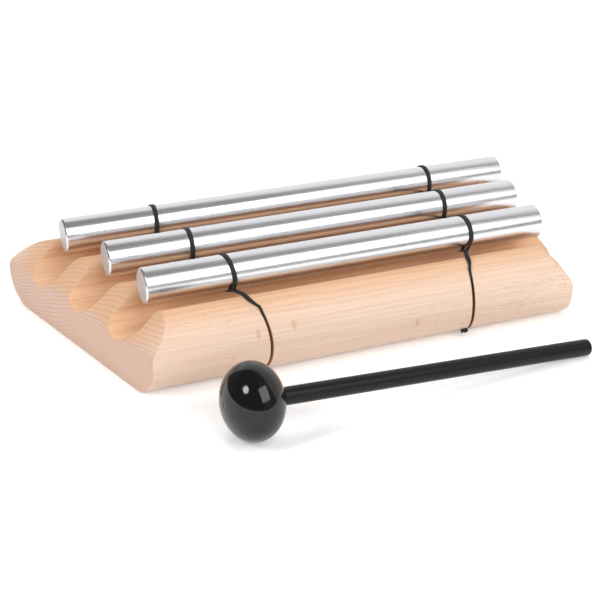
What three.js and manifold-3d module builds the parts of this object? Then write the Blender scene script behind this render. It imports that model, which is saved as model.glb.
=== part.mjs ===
// A three-bar energy chime with its mallet: aluminium bars slung in elastic loops over the grooves of a beech
// block. Millimetres, +Z up, +X along the bars to the right, +Y to the back; the origin is the middle of the
// block's underside.
import * as THREE from 'three';
import { mergeVertices } from 'three/addons/utils/BufferGeometryUtils.js';
import Module from 'manifold-3d';

// Gap that neighbouring pieces keep
const CLEARANCE = 0.3;

// Bars of round stock, front to rear
const BAR_DIAMETER = 12.7;
const BAR_CHAMFER = 0.5;
const FRONT_BAR_LENGTH = 154;
const MIDDLE_BAR_LENGTH = 165;
const REAR_BAR_LENGTH = 182.5;
const BAR_PITCH = 27;
const BAR_RISE = 4.9;

// Block: bullnosed front and back, ends skewed in plan and bevelled above
const BLOCK_HEIGHT = 27.5;
const SIDE_MARGIN = 23.6;
const SIDE_LINE_HEIGHT = 12.8;
const FOOT_REACH = 12.8;
const SHOULDER_REACH = 18;
const END_DISTANCE = 91.4;
const END_SKEW_DEG = 15;
const BEVEL_HEIGHT = 11.5;
const BEVEL_DEG = 45;
const CREASE_RADIUS = 6;

// Round-bottomed grooves under the bars
const GROOVE_SIDE_GAP = 1.65;
const GROOVE_DEPTH = 13.3;
const GROOVE_LIP = 1;

// Saw kerfs that hold the elastic cords round the block
const KERF_DEPTH = 4.5;
const KERF_RUNOUT = 3.2;
const KERF_X = 50.1;
const KERF_SKEW = 0.22;

// Flat elastic cords, with the place of each loop along its bar
const CORD_WIDTH = 1.8;
const CORD_THICKNESS = 0.7;
const CORD_END_GAP = 0.6;
const LEFT_FRONT_LOOP_X = 46.9;
const LEFT_MIDDLE_LOOP_X = 51.4;
const LEFT_REAR_LOOP_X = 57.5;
const RIGHT_FRONT_LOOP_X = 45.4;
const RIGHT_MIDDLE_LOOP_X = 50.1;
const RIGHT_REAR_LOOP_X = 57.1;
const KNOT_LENGTH = 3.4;
const KNOT_DIAMETER = 1.8;
const KNOT_SIDE_SHIFT = 2;
const KNOT_DEG = 50;

// Mallet, lying in front of the block
const HEAD_DIAMETER = 26;
const HEAD_LENGTH = 20.3;
const HANDLE_DIAMETER = 6;
const HANDLE_REACH = 130.5;
const HANDLE_EDGE = 1;
const SOCKET_DEPTH = 12;
const MALLET_X = -58.2;
const MALLET_STANDOFF = 31.9;
const MALLET_YAW_DEG = 3;

// Facets
const ARC_STEPS = 10;
const ROUND_SIDES = 48;
const CORD_SIDES = 8;
const LOOP_STEPS = 36;
const TIE_STEPS = 5;
const STRAND_STEPS = 72;

// Sizes that follow from the ones above
const BLOCK_HALF = BAR_PITCH + SIDE_MARGIN;
const FOOT_Y = BLOCK_HALF - FOOT_REACH;
const SHOULDER_Y = BLOCK_HALF - SHOULDER_REACH;
const BAR_Z = BLOCK_HEIGHT + BAR_RISE;
const GROOVE_RADIUS = BAR_DIAMETER / 2 + GROOVE_SIDE_GAP;
const GROOVE_AXIS_Z = BLOCK_HEIGHT - GROOVE_DEPTH + GROOVE_RADIUS;
const CREASE_Z = BLOCK_HEIGHT - BEVEL_HEIGHT;
const KERF_WIDTH = CORD_THICKNESS + 2 * CLEARANCE;
const KERF_START_Y = BLOCK_HALF - KERF_DEPTH - KERF_RUNOUT;
const LOOP_RADIUS = BAR_DIAMETER / 2 + CLEARANCE + CORD_THICKNESS / 2;
const TIE_RISE = CLEARANCE + CORD_THICKNESS;
const BLOCK_SPAN = 2 * (END_DISTANCE + BLOCK_HALF);

const wasm = await Module();
wasm.setup();

const BARS = [
  { name: 'front', y: -BAR_PITCH, length: FRONT_BAR_LENGTH },
  { name: 'middle', y: 0, length: MIDDLE_BAR_LENGTH },
  { name: 'rear', y: BAR_PITCH, length: REAR_BAR_LENGTH },
];
const LEFT_LOOPS = { front: LEFT_FRONT_LOOP_X, middle: LEFT_MIDDLE_LOOP_X, rear: LEFT_REAR_LOOP_X };
const RIGHT_LOOPS = { front: RIGHT_FRONT_LOOP_X, middle: RIGHT_MIDDLE_LOOP_X, rear: RIGHT_REAR_LOOP_X };
const SIDES = [
  { name: 'left', sign: -1, loops: LEFT_LOOPS },
  { name: 'right', sign: 1, loops: RIGHT_LOOPS },
];

const X = new THREE.Vector3(1, 0, 0);
const Y = new THREE.Vector3(0, 1, 0);
const Z = new THREE.Vector3(0, 0, 1);

const beech = () => new THREE.MeshStandardMaterial({ color: 0xe6c09a, roughness: 0.6, metalness: 0 });
const aluminium = () => new THREE.MeshStandardMaterial({ color: 0xd9dadc, roughness: 0.22, metalness: 1 });
const elastic = () => new THREE.MeshStandardMaterial({ color: 0x222124, roughness: 0.55, metalness: 0 });
const glossBlack = () => new THREE.MeshStandardMaterial({ color: 0x131417, roughness: 0.1, metalness: 0 });
const satinBlack = () => new THREE.MeshStandardMaterial({ color: 0x18181b, roughness: 0.4, metalness: 0 });

// Booleans

function welded(geometry) {
  const bare = geometry.clone();
  bare.deleteAttribute('normal');
  bare.deleteAttribute('uv');
  return mergeVertices(bare, 1e-5);
}

function solid(geometry) {
  const merged = welded(geometry);
  const vertProperties = new Float32Array(merged.attributes.position.array);
  const triVerts = new Uint32Array(merged.index.array);
  return new wasm.Manifold(new wasm.Mesh({ numProp: 3, vertProperties, triVerts }));
}

function geometryOf(manifold) {
  const mesh = manifold.getMesh();
  const geometry = new THREE.BufferGeometry();
  geometry.setAttribute('position', new THREE.BufferAttribute(mesh.vertProperties, 3));
  geometry.setIndex(new THREE.BufferAttribute(mesh.triVerts, 1));
  geometry.computeVertexNormals();
  return geometry;
}

// A prism of a shape drawn across (first axis) and up (+Z), centred on the origin along its third axis
function prism(shape, length, across) {
  const along = new THREE.Vector3().crossVectors(across, Z);
  const geometry = new THREE.ExtrudeGeometry(shape, {
    depth: length,
    bevelEnabled: false,
    curveSegments: ARC_STEPS,
  });
  geometry.translate(0, 0, -length / 2);
  return geometry.applyMatrix4(new THREE.Matrix4().makeBasis(across, Z, along));
}

// Block

// Height over the bullnosed shoulder at a distance from the middle line, lifted squarely off the wood
function shoulderZ(y, lift) {
  const rise = BLOCK_HEIGHT - SIDE_LINE_HEIGHT;
  const t = Math.max(0, Math.abs(y) - SHOULDER_Y) / SHOULDER_REACH;
  const height = Math.sqrt(1 - t * t);
  const slope = (rise * t) / (SHOULDER_REACH * height);
  return SIDE_LINE_HEIGHT + rise * height + lift * Math.sqrt(1 + slope * slope);
}

// Cross-section of the block before its grooves: flat foot, round lower edges, elliptic shoulders
function sectionShape() {
  const rise = BLOCK_HEIGHT - SIDE_LINE_HEIGHT;
  const shape = new THREE.Shape();
  shape.moveTo(-FOOT_Y, 0);
  shape.lineTo(FOOT_Y, 0);
  shape.absellipse(FOOT_Y, SIDE_LINE_HEIGHT, FOOT_REACH, SIDE_LINE_HEIGHT, -Math.PI / 2, 0);
  shape.absellipse(SHOULDER_Y, SIDE_LINE_HEIGHT, SHOULDER_REACH, rise, 0, Math.PI / 2);
  shape.lineTo(-SHOULDER_Y, BLOCK_HEIGHT);
  shape.absellipse(-SHOULDER_Y, SIDE_LINE_HEIGHT, SHOULDER_REACH, rise, Math.PI / 2, Math.PI);
  shape.absellipse(-FOOT_Y, SIDE_LINE_HEIGHT, FOOT_REACH, SIDE_LINE_HEIGHT, Math.PI, 1.5 * Math.PI);
  return shape;
}

// What one groove takes out: a round-bottomed slot whose lips are rounded over
function grooveShape(y) {
  const mouth = GROOVE_RADIUS + GROOVE_LIP;
  const lipZ = BLOCK_HEIGHT - GROOVE_LIP;
  const shape = new THREE.Shape();
  shape.moveTo(y + mouth, 2 * BLOCK_HEIGHT);
  shape.lineTo(y - mouth, 2 * BLOCK_HEIGHT);
  shape.absarc(y - mouth, lipZ, GROOVE_LIP, Math.PI / 2, 0, true);
  shape.absarc(y, GROOVE_AXIS_Z, GROOVE_RADIUS, Math.PI, 2 * Math.PI);
  shape.absarc(y + mouth, lipZ, GROOVE_LIP, Math.PI, Math.PI / 2, true);
  return shape;
}

// What stays at one end, drawn along the end's normal: an upright face, a soft crease and the bevel above it
function endShape() {
  const lean = THREE.MathUtils.degToRad(BEVEL_DEG);
  const arcRun = CREASE_RADIUS * Math.tan(lean / 2);
  const top = 2 * BLOCK_HEIGHT;
  const shape = new THREE.Shape();
  shape.moveTo(-BLOCK_SPAN, -BLOCK_HEIGHT);
  shape.lineTo(END_DISTANCE, -BLOCK_HEIGHT);
  shape.absarc(END_DISTANCE - CREASE_RADIUS, CREASE_Z - arcRun, CREASE_RADIUS, 0, lean);
  shape.lineTo(END_DISTANCE - (top - CREASE_Z) * Math.tan(lean), top);
  shape.lineTo(-BLOCK_SPAN, top);
  return shape;
}

// What the kerf leaves standing inside its plane; its depth grows from nothing on the shoulder to KERF_DEPTH
function kerfCoreShape() {
  const rise = shoulderZ(KERF_START_Y, 0) - SIDE_LINE_HEIGHT;
  const footReach = FOOT_REACH - KERF_DEPTH;
  const footRise = SIDE_LINE_HEIGHT - KERF_DEPTH;
  const top = 2 * BLOCK_HEIGHT;
  const shape = new THREE.Shape();
  shape.moveTo(-FOOT_Y, KERF_DEPTH);
  shape.lineTo(FOOT_Y, KERF_DEPTH);
  shape.absellipse(FOOT_Y, SIDE_LINE_HEIGHT, footReach, footRise, -Math.PI / 2, 0);
  shape.absellipse(KERF_START_Y, SIDE_LINE_HEIGHT, KERF_RUNOUT, rise, 0, Math.PI / 2);
  shape.lineTo(KERF_START_Y, top);
  shape.lineTo(-KERF_START_Y, top);
  shape.absellipse(-KERF_START_Y, SIDE_LINE_HEIGHT, KERF_RUNOUT, rise, Math.PI / 2, Math.PI);
  shape.absellipse(-FOOT_Y, SIDE_LINE_HEIGHT, footReach, footRise, Math.PI, 1.5 * Math.PI);
  return shape;
}

function block() {
  let wood = solid(prism(sectionShape(), BLOCK_SPAN, Y));
  for (const bar of BARS) {
    wood = wood.subtract(solid(prism(grooveShape(bar.y), BLOCK_SPAN, Y)));
  }
  const skew = THREE.MathUtils.degToRad(END_SKEW_DEG);
  const core = solid(prism(kerfCoreShape(), 2 * BLOCK_SPAN, Y));
  for (const { sign } of SIDES) {
    const normal = new THREE.Vector3(sign * Math.cos(skew), -Math.sin(skew), 0);
    wood = wood.intersect(solid(prism(endShape(), 2 * BLOCK_SPAN, normal)));
    const blade = new THREE.BoxGeometry(KERF_WIDTH, BLOCK_SPAN, 4 * BLOCK_HEIGHT);
    blade.rotateZ(-sign * Math.atan(KERF_SKEW));
    blade.translate(sign * KERF_X, 0, 0);
    wood = wood.subtract(solid(blade).subtract(core));
  }
  return geometryOf(wood);
}

// Bars

function barGeometry(length) {
  const radius = BAR_DIAMETER / 2;
  const half = length / 2;
  const profile = [
    new THREE.Vector2(0, -half),
    new THREE.Vector2(radius - BAR_CHAMFER, -half),
    new THREE.Vector2(radius, -half + BAR_CHAMFER),
    new THREE.Vector2(radius, half - BAR_CHAMFER),
    new THREE.Vector2(radius - BAR_CHAMFER, half),
    new THREE.Vector2(0, half),
  ];
  return new THREE.LatheGeometry(profile, ROUND_SIDES).rotateZ(-Math.PI / 2);
}

// Elastic cords

// Place along the bars of a side's kerf and of its loop on a bar
function kerfX(side, y) {
  return side.sign * (KERF_X + KERF_SKEW * y);
}

function loopX(side, bar) {
  return side.sign * side.loops[bar.name];
}

function ovalShape(depth, width) {
  const shape = new THREE.Shape();
  shape.absellipse(0, 0, depth / 2, width / 2, 0, 2 * Math.PI);
  return shape;
}

// An oval section carried along a curve, its width kept towards one side
function tube(curve, steps, depth, width, side) {
  curve.computeFrenetFrames = (count) => {
    const frames = { tangents: [], normals: [], binormals: [] };
    for (let i = 0; i <= count; i += 1) {
      const tangent = curve.getTangentAt(i / count);
      const normal = new THREE.Vector3().crossVectors(side, tangent).normalize();
      frames.tangents.push(tangent);
      frames.normals.push(normal);
      frames.binormals.push(new THREE.Vector3().crossVectors(tangent, normal));
    }
    return frames;
  };
  return new THREE.ExtrudeGeometry(ovalShape(depth, width), {
    steps,
    curveSegments: CORD_SIDES / 2,
    extrudePath: curve,
    bevelEnabled: false,
  });
}

// A closed band round a bar, wide along the bar and thin outwards
function loopGeometry() {
  const profile = [];
  for (let i = 0; i <= CORD_SIDES; i += 1) {
    const angle = 2 * Math.PI * ((i % CORD_SIDES) / CORD_SIDES);
    const out = LOOP_RADIUS + (CORD_THICKNESS / 2) * Math.cos(angle);
    profile.push(new THREE.Vector2(out, (CORD_WIDTH / 2) * Math.sin(angle)));
  }
  return new THREE.LatheGeometry(profile, LOOP_STEPS).rotateZ(-Math.PI / 2);
}

// Where the doubled cord leaves a loop over the block; way is -1 to the front and 1 to the back
function loopExit(side, bar, way) {
  const z = BLOCK_HEIGHT + TIE_RISE;
  const drop = Math.max(0, BAR_Z - z - CORD_THICKNESS);
  const outer = LOOP_RADIUS + CORD_THICKNESS / 2;
  const across = Math.sqrt(Math.max(0, outer * outer - drop * drop)) + CLEARANCE;
  return new THREE.Vector3(loopX(side, bar), bar.y + way * across, z);
}

// Doubled cord from one loop to the next
function bridgeGeometry(side, bar, next) {
  const curve = new THREE.LineCurve3(loopExit(side, bar, 1), loopExit(side, next, -1));
  return tube(curve, TIE_STEPS, 2 * CORD_THICKNESS, CORD_WIDTH, X);
}

// Doubled cord from an outer loop over the shoulder to the kerf's mouth
function leadGeometry(side, bar, way) {
  const start = loopExit(side, bar, way);
  const endY = way * (KERF_START_Y - CORD_END_GAP);
  const end = new THREE.Vector3(kerfX(side, endY), endY, start.z);
  const points = [];
  for (let i = 0; i <= TIE_STEPS; i += 1) {
    const point = start.clone().lerp(end, i / TIE_STEPS);
    point.z = shoulderZ(point.y, TIE_RISE);
    points.push(point);
  }
  return tube(new THREE.CatmullRomCurve3(points), 2 * TIE_STEPS, 2 * CORD_THICKNESS, CORD_WIDTH, X);
}

// The cord's run in the kerf, standing on edge: down the front, along the underside and up the back
function strandGeometry(side) {
  const lift = CLEARANCE + CORD_WIDTH / 2;
  const reach = KERF_RUNOUT + lift;
  const rise = shoulderZ(KERF_START_Y, lift) - SIDE_LINE_HEIGHT;
  const footReach = FOOT_REACH - KERF_DEPTH + lift;
  const footRise = SIDE_LINE_HEIGHT - KERF_DEPTH + lift;
  const half = [];
  for (let i = 0; i < ARC_STEPS; i += 1) {
    const angle = (Math.PI / 2) * (1 - i / ARC_STEPS);
    half.push([KERF_START_Y + reach * Math.cos(angle), SIDE_LINE_HEIGHT + rise * Math.sin(angle)]);
  }
  for (let i = 0; i <= ARC_STEPS; i += 1) {
    const angle = (Math.PI / 2) * (i / ARC_STEPS);
    half.push([FOOT_Y + footReach * Math.cos(angle), SIDE_LINE_HEIGHT - footRise * Math.sin(angle)]);
  }
  const front = half.map(([y, z]) => new THREE.Vector3(kerfX(side, -y), -y, z));
  const back = half.map(([y, z]) => new THREE.Vector3(kerfX(side, y), y, z)).reverse();
  const curve = new THREE.CatmullRomCurve3([...front, ...back]);
  const squareToKerf = new THREE.Vector3(1, -side.sign * KERF_SKEW, 0);
  return tube(curve, STRAND_STEPS, CORD_WIDTH, CORD_THICKNESS, squareToKerf);
}

// The knotted ends: a stem out of the kerf at the front's lower round and the knot beside its mouth
function knotGeometry(side) {
  const angle = THREE.MathUtils.degToRad(KNOT_DEG);
  const place = (offset) => {
    const y = -(FOOT_Y + (FOOT_REACH + offset) * Math.cos(angle));
    const z = SIDE_LINE_HEIGHT - (SIDE_LINE_HEIGHT + offset) * Math.sin(angle);
    return new THREE.Vector3(kerfX(side, y), y, z);
  };
  const inner = place(CORD_WIDTH + 2 * CLEARANCE - KERF_DEPTH);
  const mouth = place(CLEARANCE + KNOT_DIAMETER / 2);
  const centre = mouth.clone().addScaledVector(X, -side.sign * KNOT_SIDE_SHIFT);
  const stem = new THREE.QuadraticBezierCurve3(inner, mouth, centre);
  const bead = new THREE.SphereGeometry(KNOT_DIAMETER / 2, 2 * CORD_SIDES, CORD_SIDES);
  bead.scale(KNOT_LENGTH / KNOT_DIAMETER, 1, 1).translate(centre.x, centre.y, centre.z);
  const tail = tube(stem, CORD_SIDES, CORD_THICKNESS, CORD_THICKNESS, Z);
  return geometryOf(solid(bead).add(solid(tail)));
}

// Mallet, made along its own +Y with the middle of the head at the origin

function headGeometry() {
  const radius = HEAD_DIAMETER / 2;
  const half = HEAD_LENGTH / 2;
  const bore = HANDLE_DIAMETER / 2 + CLEARANCE;
  const last = Math.acos(bore / radius);
  const count = 2 * ARC_STEPS;
  const profile = [];
  for (let i = 0; i <= count; i += 1) {
    const angle = -Math.PI / 2 + (last + Math.PI / 2) * (i / count);
    profile.push(new THREE.Vector2(i === 0 ? 0 : radius * Math.cos(angle), half * Math.sin(angle)));
  }
  const floor = half - SOCKET_DEPTH;
  profile.push(new THREE.Vector2(bore, floor), new THREE.Vector2(0, floor));
  return new THREE.LatheGeometry(profile, ROUND_SIDES);
}

function handleGeometry() {
  const radius = HANDLE_DIAMETER / 2;
  const inner = HEAD_LENGTH / 2 - SOCKET_DEPTH + CLEARANCE;
  const profile = [new THREE.Vector2(0, inner), new THREE.Vector2(radius, inner)];
  for (let i = 0; i <= ARC_STEPS; i += 1) {
    const angle = (Math.PI / 2) * (i / ARC_STEPS);
    const out = radius - HANDLE_EDGE * (1 - Math.cos(angle));
    profile.push(new THREE.Vector2(out, HANDLE_REACH - HANDLE_EDGE * (1 - Math.sin(angle))));
  }
  profile.push(new THREE.Vector2(0, HANDLE_REACH));
  return new THREE.LatheGeometry(profile, ROUND_SIDES / 2);
}

// Head and handle end both lie on the table, so the handle slopes down from the head
function malletGroup() {
  const slope = Math.asin((HEAD_DIAMETER - HANDLE_DIAMETER) / 2 / HANDLE_REACH);
  const yaw = THREE.MathUtils.degToRad(MALLET_YAW_DEG);
  const along = new THREE.Vector3(
    Math.cos(slope) * Math.cos(yaw),
    Math.cos(slope) * Math.sin(yaw),
    -Math.sin(slope),
  );
  const group = new THREE.Group();
  group.quaternion.setFromUnitVectors(Y, along);
  group.position.set(MALLET_X, -(BLOCK_HALF + MALLET_STANDOFF), HEAD_DIAMETER / 2);
  return group;
}

// Assembly

const chime = new THREE.Group();

function addMesh(parent, name, geometry, material) {
  const mesh = new THREE.Mesh(geometry, material);
  mesh.name = name;
  parent.add(mesh);
  return mesh;
}

addMesh(chime, 'beech_block', block(), beech());

for (const bar of BARS) {
  addMesh(chime, `${bar.name}_bar`, barGeometry(bar.length), aluminium()).position.set(0, bar.y, BAR_Z);
}

for (const side of SIDES) {
  const [front, middle, rear] = BARS;
  for (const bar of BARS) {
    const loop = addMesh(chime, `${side.name}_${bar.name}_loop`, loopGeometry(), elastic());
    loop.position.set(loopX(side, bar), bar.y, BAR_Z);
  }
  addMesh(chime, `${side.name}_front_lead`, leadGeometry(side, front, -1), elastic());
  addMesh(chime, `${side.name}_front_bridge`, bridgeGeometry(side, front, middle), elastic());
  addMesh(chime, `${side.name}_rear_bridge`, bridgeGeometry(side, middle, rear), elastic());
  addMesh(chime, `${side.name}_rear_lead`, leadGeometry(side, rear, 1), elastic());
  addMesh(chime, `${side.name}_kerf_strand`, strandGeometry(side), elastic());
  addMesh(chime, `${side.name}_knot`, knotGeometry(side), elastic());
}

const mallet = malletGroup();
addMesh(mallet, 'mallet_head', headGeometry(), glossBlack());
addMesh(mallet, 'mallet_handle', handleGeometry(), satinBlack());
chime.add(mallet);

export default chime;
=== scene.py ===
import bpy
import numpy as np
from mathutils import Matrix, Vector


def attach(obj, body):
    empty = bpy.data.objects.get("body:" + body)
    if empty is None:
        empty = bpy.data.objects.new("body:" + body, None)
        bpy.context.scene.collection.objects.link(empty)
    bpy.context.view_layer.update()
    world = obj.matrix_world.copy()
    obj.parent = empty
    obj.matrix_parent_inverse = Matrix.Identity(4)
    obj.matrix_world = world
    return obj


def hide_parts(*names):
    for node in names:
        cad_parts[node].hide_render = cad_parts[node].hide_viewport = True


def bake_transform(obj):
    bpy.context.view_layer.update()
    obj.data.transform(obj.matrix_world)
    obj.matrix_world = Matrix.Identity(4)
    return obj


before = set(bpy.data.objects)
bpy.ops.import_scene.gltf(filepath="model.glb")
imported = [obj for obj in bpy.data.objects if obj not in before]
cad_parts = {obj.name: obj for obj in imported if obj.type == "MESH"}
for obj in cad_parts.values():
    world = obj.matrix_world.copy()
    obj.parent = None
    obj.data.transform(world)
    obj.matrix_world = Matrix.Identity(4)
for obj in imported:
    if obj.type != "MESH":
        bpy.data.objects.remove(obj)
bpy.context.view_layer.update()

# Camera of the photograph, angles in degrees and lengths in millimetres
CAMERA_AZIMUTH = -22.58
CAMERA_ELEVATION = 25.46
CAMERA_AIM = (-7.77, 0.0, 2.75)
CAMERA_DISTANCE = 498.04
CAMERA_LENS = 77.94
CAMERA_SENSOR = 36.0

# Bars, in millimetres as all sizes of the object
BAR_RADIUS = 6.35
BAR_PITCH = 27.0
BAR_Z = 32.4
BAR_LENGTHS = {"front": 154.0, "middle": 165.0, "rear": 182.5}
BAR_Y = {"front": -BAR_PITCH, "middle": 0.0, "rear": BAR_PITCH}
BAR_CHAMFER = 0.5
BAR_EASE = 0.12
BAR_EASE_TOUCH = 0.05
BAR_DISH = 0.03

# Block: its outline, its grooves, its ends and its saw kerfs
BLOCK_TOP = 27.5
SIDE_LINE = 12.8
FOOT_Y = 37.8
FOOT_ROUND = SIDE_LINE
SHOULDER_Y = 32.6
SHOULDER_REACH = 18.0
SHOULDER_RISE = BLOCK_TOP - SIDE_LINE
GROOVE_RADIUS = 8.0
GROOVE_AXIS_Z = 22.2
LIP = 2.0
RIDGE_ROUND = 4.0
END_DISTANCE = 91.4
END_SKEW = np.radians(15.0)
BEVEL_FOOT = 16.0
CREASE_RADIUS = 6.0
CREASE_START = 13.515
CREASE_RISE = CREASE_RADIUS * np.sin(np.pi / 4)
ARRIS = 0.4
KERF_X = 50.1
KERF_SKEW = 0.22
KERF_WIDTH = 1.15
KERF_DEPTH = 4.5
KERF_START_Y = 42.9
KERF_RUNOUT = 3.2
SIDE_SIGN = {"left": -1.0, "right": 1.0}

# Elastic: flat round the bars, twice as thick off them, bunched at the kerf's mouth, and on edge inside it
BAND_WIDTH = 1.65
BAND_THICKNESS = 0.45
BUNCHED_HALF = 0.45
EDGE_WIDER = 0.45
EDGE_THINNER = 0.06
CORD_LIFT = 0.48
CORD_SINK = 3.95
LOOP_SLACK = 0.03
PINCH_RADIUS = 0.55 * BAND_THICKNESS
PINCH_REACH = 6.0
PINCH_Z = 27.95
# How far stretches overlap: into a loop, a lead past the kerf's mouth, a strand before it, and bridge halves
LOOP_OVERLAP = 0.1
MOUTH_OVERLAP = 0.5
STRAND_OVERLAP = 0.3
BRIDGE_OVERLAP = 0.05
# Shares of a lead's way: its sway to the side, where it starts to narrow and over how much of the way
LEAD_SWAY = 0.07
NARROW_FROM = 0.55
NARROW_OVER = 0.4
# Shares of the strand's way down the shoulder: where it is sunk, and from where and over how much it turns
SUNK_AT = 0.68
EDGE_FROM = 0.15
EDGE_OVER = 0.6
# Place of each loop along its bar at the front pinch, the front, the top and the back pinch
LOOP_X = {
    "left": {"front": (-46.4, -45.6, -47.1, -48.0), "middle": (-52.0, -51.9, -51.6, -52.1),
             "rear": (-57.4, -57.1, -56.3, -57.0)},
    "right": {"front": (44.6, 46.4, 46.2, 45.5), "middle": (49.7, 49.9, 50.5, 49.5),
              "rear": (57.2, 57.5, 57.8, 56.9)},
}
# Angles in degrees from the front upwards of those four places and of the underside
LOOP_ANGLES = (-40, -5, 92, 220, 270)
KNOT_SHIFT = {"left": -0.2, "right": -2.0}
KNOT_ANGLE = np.radians(50.0)
KNOT_STANDOFF = 0.7
KNOT_STRETCH = np.array([0.45, 0.17, 0.45])
KNOT_STRAND = 0.35

# Mallet: its place, its head with the socket, and its handle
HEAD_RADIUS = 13.0
HEAD_HALF = 10.15
HEAD_PITS = ((-68.17, -83.98, 14.38), (-67.21, -77.18, 15.94), (-57.76, -78.78, 25.45))
SOCKET_MOUTH = 3.35
SOCKET_RADIUS = 3.1
SOCKET_DEPTH = 3.0
HANDLE_RADIUS = 3.0
HANDLE_REACH = 130.5
HANDLE_SEAT = 2.9
HANDLE_END_ROUND = 1.0
MALLET_CENTRE = np.array([-58.2, -82.5, 13.0])
MALLET_YAW = np.radians(3.0)
MALLET_SLOPE = np.arcsin((HEAD_RADIUS - HANDLE_RADIUS) / HANDLE_REACH)

# Studio, in metres and degrees
TABLE_HALF = 8.0
HOOD_REACH = 2.6
HOOD_BACK = -36.0
HOOD_FRONT = 89.0
HOOD_SWING = np.radians(-40.0)
HOOD_PANEL = 0.6
HOOD_STEPS = 40
WHITE = (1.0, 1.0, 1.0, 1.0)


# Camera at the photograph's viewing angle

def direction_of(azimuth, elevation):
    """Unit vector towards an azimuth, from the front round to the right, and an elevation, in degrees."""
    a = np.radians(azimuth)
    e = np.radians(elevation)
    return Vector((np.sin(a) * np.cos(e), -np.cos(a) * np.cos(e), np.sin(e)))


def aim_camera():
    """The camera looks along minus back, with the picture's right and up square to it."""
    azimuth = np.radians(CAMERA_AZIMUTH)
    right = Vector((np.cos(azimuth), np.sin(azimuth), 0.0))
    back = direction_of(CAMERA_AZIMUTH, CAMERA_ELEVATION)
    up = back.cross(right)
    eye = 0.001 * (Vector(CAMERA_AIM) + CAMERA_DISTANCE * back)
    camera = bpy.data.objects.new("camera", bpy.data.cameras.new("camera"))
    camera.data.sensor_width = CAMERA_SENSOR
    camera.data.lens = CAMERA_LENS
    camera.matrix_world = Matrix.Translation(eye) @ Matrix((right, up, back)).transposed().to_4x4()
    bpy.context.scene.collection.objects.link(camera)
    bpy.context.scene.camera = camera


aim_camera()
bpy.context.scene.view_settings.view_transform = "Standard"


# Nodes and colours

def linear(code):
    """sRGB hex code to linear red, green, blue and alpha: a straight line when dark, else a power of 2.4."""
    srgb = np.array([int(code[i:i + 2], 16) for i in (1, 3, 5)]) / 255.0
    light = np.where(srgb <= 0.04045, srgb / 12.92, ((srgb + 0.055) / 1.055) ** 2.4)
    return (*[float(c) for c in light], 1.0)


def add(tree, kind, inputs, **settings):
    """A node of a kind with its settings; inputs are values, or sockets to link from."""
    made = tree.nodes.new(kind)
    for name, value in settings.items():
        setattr(made, name, value)
    for key, value in inputs.items():
        if isinstance(value, bpy.types.NodeSocket):
            tree.links.new(value, made.inputs[key])
        else:
            made.inputs[key].default_value = value
    return made


def blank_material(name):
    """A material with an empty node tree."""
    material = bpy.data.materials.new(name)
    material.use_nodes = True
    material.node_tree.nodes.clear()
    return material, material.node_tree
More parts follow.
